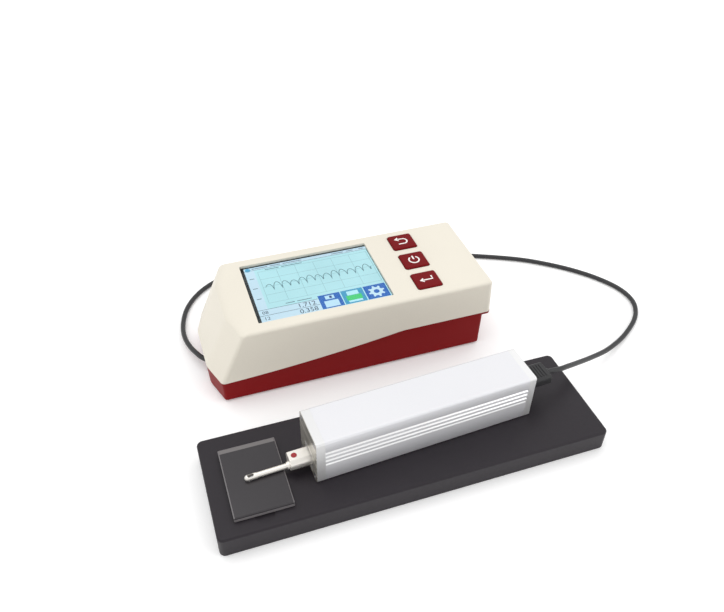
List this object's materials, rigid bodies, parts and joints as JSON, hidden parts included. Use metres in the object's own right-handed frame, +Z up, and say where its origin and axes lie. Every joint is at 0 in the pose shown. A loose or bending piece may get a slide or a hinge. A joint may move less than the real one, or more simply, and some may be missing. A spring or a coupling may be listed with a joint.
{
  "type": "surface roughness tester",
  "caption": "Split surface roughness tester: display unit with screen and keys, cabled to a traverse drive whose pickup runs over a specimen tile on a stand plate.",
  "frame": {"origin": "on the table under the middle of the stand plate and display unit taken together", "axes": "+X along the stand plate towards the drive's cable end, +Y from the plate towards the display unit, +Z up"},
  "size_m": [0.2805, 0.2019, 0.047],
  "materials": {
    "plate_black": "satin charcoal coating",
    "tile_glass": "grey glass with ground edges",
    "drive_alu": "bead-blasted anodised extrusion",
    "cap_alu": "bright machined face",
    "chassis_alu": "milled",
    "steel": "ground",
    "pickup_steel": "satin warm silver",
    "bronze": "turned",
    "board_green": "solder mask",
    "black_plastic": "fine grain",
    "carriage_grey": "moulded",
    "mark_red": "enamel dot",
    "stylus_dark": "polished",
    "shell_cream": "fine spark texture",
    "shell_red": "fine spark texture",
    "key_red": "soft gloss",
    "screen": "clear cover",
    "panel_dark": "flat",
    "battery_blue": "shrink sleeve",
    "rubber_black": "matt",
    "cable_black": "smooth jacket"
  },
  "bodies": {
    "tester_body": {"base_plate": "plate_black", "specimen_tile": "tile_glass", "drive_housing": "drive_alu", "drive_front_cap": "cap_alu", "drive_rear_cap": "cap_alu", "front_cap_screws": "steel", "rear_cap_screws": "steel", "chassis": "chassis_alu", "guide_rods": "steel", "screw_bearings": "bronze", "gear_motor": "steel", "limit_switches": "black_plastic", "drive_board": "board_green", "rear_socket": "black_plastic", "upper_shell": "shell_cream", "lower_shell": "shell_red", "shell_screws": "steel", "unit_feet": "rubber_black", "screen_glass": "screen", "display_panel": "panel_dark", "display_carrier": "black_plastic", "main_board": "board_green", "board_screws": "steel", "key_switches": "black_plastic", "battery_pack": "battery_blue", "cable_socket": "black_plastic", "charge_socket": "steel", "unit_plug": "black_plastic", "drive_plug": "black_plastic", "signal_cable": "cable_black"},
    "back_key_body": {"back_key": "key_red"},
    "start_key_body": {"start_key": "key_red"},
    "enter_key_body": {"enter_key": "key_red"},
    "screw_body": {"lead_screw": "steel", "motor_coupling": "chassis_alu", "motor_shaft": "steel"},
    "carriage_body": {"carriage": "carriage_grey", "carriage_nut": "bronze", "slide_bushes": "bronze", "pickup_socket": "black_plastic", "pickup_body": "pickup_steel", "pickup_mark": "mark_red", "pickup_tube": "pickup_steel", "lever_pin": "steel"},
    "stylus_body": {"stylus_lever": "steel", "stylus_tip": "stylus_dark"}
  },
  "joints": [
    {"name": "back_key_press", "type": "slide", "parent": "tester_body", "child": "back_key_body", "axis": [0, 0, -1], "range_m": [0, 0.0008], "stiffness_N_per_m": 1500},
    {"name": "start_key_press", "type": "slide", "parent": "tester_body", "child": "start_key_body", "axis": [0, 0, -1], "range_m": [0, 0.0008], "stiffness_N_per_m": 1500},
    {"name": "enter_key_press", "type": "slide", "parent": "tester_body", "child": "enter_key_body", "axis": [0, 0, -1], "range_m": [0, 0.0008], "stiffness_N_per_m": 1500},
    {"name": "screw_turn", "type": "hinge", "parent": "tester_body", "child": "screw_body", "pos_m": [-0.00976, -0.04637, 0.029], "axis": [0.9984, 0.0558, 0], "range_deg": [0, 3150]},
    {"name": "carriage_slide", "type": "slide", "parent": "tester_body", "child": "carriage_body", "axis": [0.9984, 0.0558, 0], "range_m": [0, 0.0175]},
    {"name": "stylus_tilt", "type": "hinge", "parent": "carriage_body", "child": "stylus_body", "pos_m": [-0.05469, -0.04888, 0.01645], "axis": [-0.0558, 0.9984, 0], "range_deg": [-0.4, 0.4], "stiffness_Nm_per_rad": 0.03}
  ],
  "couplings": [
    {"joint": "screw_turn", "follows": "carriage_slide", "rad_per_m": 3141.6}
  ]
}
